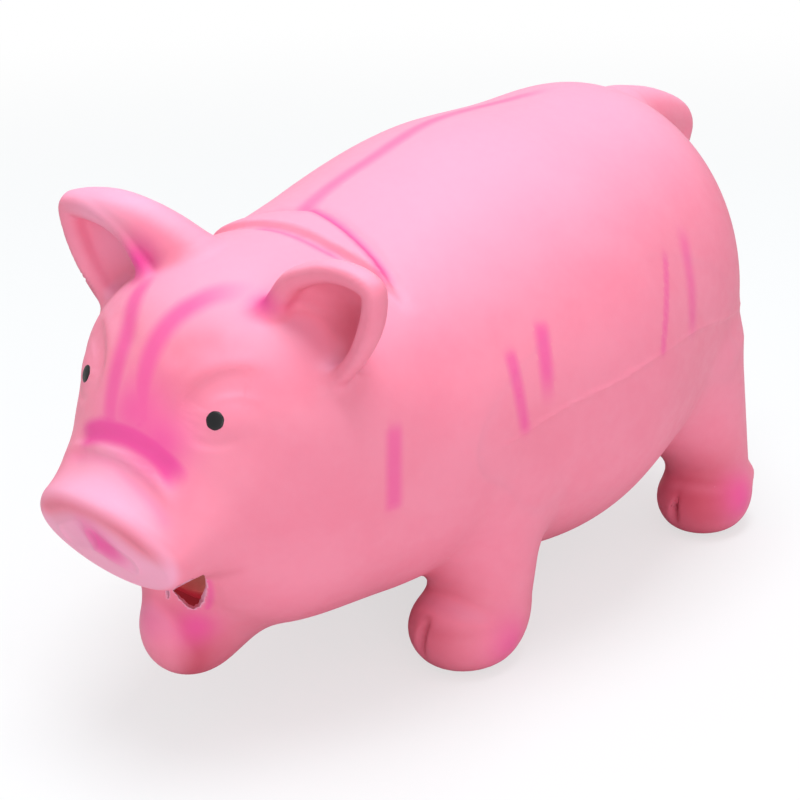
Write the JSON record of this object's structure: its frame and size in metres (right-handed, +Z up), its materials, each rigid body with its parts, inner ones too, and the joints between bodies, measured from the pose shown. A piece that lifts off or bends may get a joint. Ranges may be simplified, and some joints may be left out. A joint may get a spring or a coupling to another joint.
{
  "type": "squeaky dog toy",
  "caption": "Hollow soft latex pig on four short legs with a cut-open mouth, cupped ears, a stub tail, squeezable flanks and a reed grunter in its throat.",
  "frame": {"origin": "on the floor under the middle of the toy's bounding box", "axes": "+Z up, +X towards the pig's left flank, +Y from snout to tail; it looks along -Y"},
  "size_m": [0.11, 0.2146, 0.1172],
  "materials": {
    "pink_latex": "matte natural latex with airbrushed magenta lines",
    "chin_latex": "matte natural latex, deeper pink under the mouth",
    "black_paint": "satin black paint film",
    "throat_latex": "bare tan latex",
    "grunter_plastic": "moulded white plastic",
    "reed_seat_plastic": "moulded cream plastic",
    "reed_film": "thin stiff polyester film"
  },
  "bodies": {
    "pig": {"back_skin": "pink_latex", "belly_skin": "pink_latex", "neck_roll": "pink_latex", "head_skin": "pink_latex", "throat_skin": "pink_latex", "snout": "pink_latex", "lower_jaw": "chin_latex", "left_front_leg": "pink_latex", "right_front_leg": "pink_latex", "left_hind_leg": "pink_latex", "right_hind_leg": "pink_latex", "left_eye_dot": "black_paint", "right_eye_dot": "black_paint", "mouth_lining": "throat_latex", "throat_web": "throat_latex", "grunter_barrel": "grunter_plastic", "inlet_cap": "grunter_plastic", "reed_seat": "reed_seat_plastic", "reed_wedge": "reed_seat_plastic"},
    "left_ear": {"left_ear": "pink_latex"},
    "right_ear": {"right_ear": "pink_latex"},
    "tail": {"tail": "pink_latex"},
    "left_flank": {"left_flank_pad": "pink_latex"},
    "right_flank": {"right_flank_pad": "pink_latex"},
    "reed_tongue": {"reed_tongue": "reed_film"}
  },
  "joints": [
    {"name": "left_ear_flex", "type": "hinge", "parent": "pig", "child": "left_ear", "pos_m": [0.02554, -0.06596, 0.0916], "axis": [0.7677, 0.0598, -0.6381], "range_deg": [-18, 18], "stiffness_Nm_per_rad": 0.02},
    {"name": "right_ear_flex", "type": "hinge", "parent": "pig", "child": "right_ear", "pos_m": [-0.02554, -0.06596, 0.0916], "axis": [0.7677, -0.0598, 0.6381], "range_deg": [-18, 18], "stiffness_Nm_per_rad": 0.02},
    {"name": "tail_flex", "type": "hinge", "parent": "pig", "child": "tail", "pos_m": [0, 0.08017, 0.10144], "axis": [1, 0, 0], "range_deg": [-15, 15], "stiffness_Nm_per_rad": 0.06},
    {"name": "left_squeeze", "type": "slide", "parent": "pig", "child": "left_flank", "axis": [-1, 0, 0], "range_m": [0, 0.008], "stiffness_N_per_m": 300},
    {"name": "right_squeeze", "type": "slide", "parent": "pig", "child": "right_flank", "axis": [1, 0, 0], "range_m": [0, 0.008], "stiffness_N_per_m": 300},
    {"name": "reed_flutter", "type": "hinge", "parent": "pig", "child": "reed_tongue", "pos_m": [0, -0.05616, 0.0464], "axis": [-1, 0, 0], "range_deg": [0, 5], "stiffness_Nm_per_rad": 0.0005}
  ]
}
